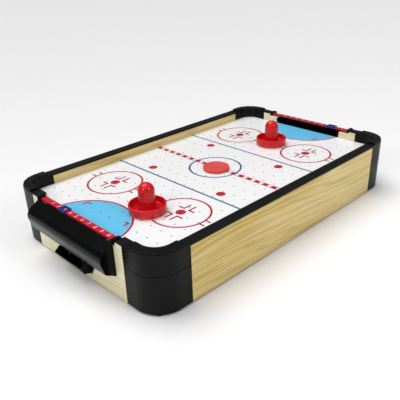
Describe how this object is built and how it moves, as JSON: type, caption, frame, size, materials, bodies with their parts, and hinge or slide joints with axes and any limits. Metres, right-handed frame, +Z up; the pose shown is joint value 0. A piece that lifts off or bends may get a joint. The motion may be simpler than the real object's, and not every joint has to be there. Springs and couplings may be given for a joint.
{
  "type": "tabletop air hockey table",
  "caption": "Tabletop air hockey game: wooden rails on black corner posts round a perforated field, hooded goals with slide scorers, two strikers, a puck and a battery fan.",
  "frame": {"origin": "centre of the table on the plane its rubber feet rest on", "axes": "+X along the table towards the far goal, +Y across the table towards the power switch side, +Z up"},
  "size_m": [0.5478, 0.305, 0.1071],
  "materials": {
    "side_wood": "satin pale pine grain",
    "end_wood": "satin cream pine grain",
    "cap_black": "satin",
    "corner_black": "fine moulded satin",
    "goal_black": "gloss",
    "field_white": "smooth printed laminate",
    "score_red": "gloss",
    "slider_blue": "gloss",
    "striker_red": "gloss",
    "puck_red": "satin",
    "felt": "pressed felt",
    "cleat_wood": "raw sawn pine",
    "hardboard": "pressed hardboard",
    "foam": "foam strip",
    "rubber": "matt",
    "fan_plastic": "glass-filled satin",
    "steel": "zinc plated",
    "motor_steel": "drawn can",
    "battery_wrap": "printed foil wrap",
    "switch_red": "gloss",
    "switch_black": "satin",
    "wire_red": "flexible sleeve",
    "wire_black": "flexible sleeve"
  },
  "bodies": {
    "table": {"side_rail_right": "side_wood", "side_rail_left": "side_wood", "side_cap_right": "cap_black", "side_cap_left": "cap_black", "end_rail_near": "end_wood", "end_rail_far": "end_wood", "end_caps": "cap_black", "corner_upper_near_right": "corner_black", "corner_upper_near_left": "corner_black", "corner_upper_far_right": "corner_black", "corner_upper_far_left": "corner_black", "corner_lower_near_right": "corner_black", "corner_lower_near_left": "corner_black", "corner_lower_far_right": "corner_black", "corner_lower_far_left": "corner_black", "playfield": "field_white", "field_gasket": "foam", "field_cleats": "cleat_wood", "bottom_cleats": "cleat_wood", "bottom_panel": "hardboard", "goal_hood_near": "goal_black", "goal_hood_far": "goal_black", "puck_tray_near": "goal_black", "puck_tray_far": "goal_black", "score_bar_near": "score_red", "score_bar_far": "score_red", "fan_frame": "fan_plastic", "fan_guard": "steel", "fan_motor": "motor_steel", "battery_box": "fan_plastic", "batteries": "battery_wrap", "battery_springs": "steel", "battery_contacts": "steel", "switch_body": "switch_black", "power_wire": "wire_red", "return_wire": "wire_red", "fan_wire": "wire_black", "rubber_feet": "rubber", "corner_screws": "steel", "hood_screws": "steel", "tray_screws": "steel", "panel_screws": "steel", "fan_screws": "steel"},
    "near_striker": {"striker_near": "striker_red", "striker_felt_near": "felt"},
    "far_striker": {"striker_far": "striker_red", "striker_felt_far": "felt"},
    "puck": {"puck": "puck_red"},
    "near_slider": {"score_slider_near": "slider_blue"},
    "far_slider": {"score_slider_far": "slider_blue"},
    "fan_rotor": {"fan_impeller": "fan_plastic", "motor_shaft": "steel"},
    "power_rocker": {"switch_rocker": "switch_red"},
    "battery_door": {"battery_cover": "fan_plastic", "cover_screw": "steel"}
  },
  "joints": [
    {"name": "near_striker_slide", "type": "slide", "parent": "table", "child": "near_striker", "axis": [0, 1, 0], "range_m": [-0.077, 0.147]},
    {"name": "far_striker_slide", "type": "slide", "parent": "table", "child": "far_striker", "axis": [0, 1, 0], "range_m": [-0.1135, 0.1105]},
    {"name": "puck_glide", "type": "slide", "parent": "table", "child": "puck", "axis": [1, 0, 0], "range_m": [-0.115, 0.09]},
    {"name": "near_score_slide", "type": "slide", "parent": "table", "child": "near_slider", "axis": [0, 1, 0], "range_m": [-0.0945, 0.0405]},
    {"name": "far_score_slide", "type": "slide", "parent": "table", "child": "far_slider", "axis": [0, 1, 0], "range_m": [-0.02025, 0.11475]},
    {"name": "fan_spin", "type": "hinge", "parent": "table", "child": "fan_rotor", "pos_m": [0, 0, 0.025], "axis": [0, 0, 1], "continuous": true},
    {"name": "power_switch_rock", "type": "hinge", "parent": "table", "child": "power_rocker", "pos_m": [0.13, 0.1491, 0.036], "axis": [0, 0, -1], "range_deg": [0, 16]},
    {"name": "battery_cover_hinge", "type": "hinge", "parent": "table", "child": "battery_door", "pos_m": [0.13, -0.0267, 0.0072], "axis": [-1, 0, 0], "range_deg": [0, 100], "stiffness_Nm_per_rad": 0.2}
  ]
}
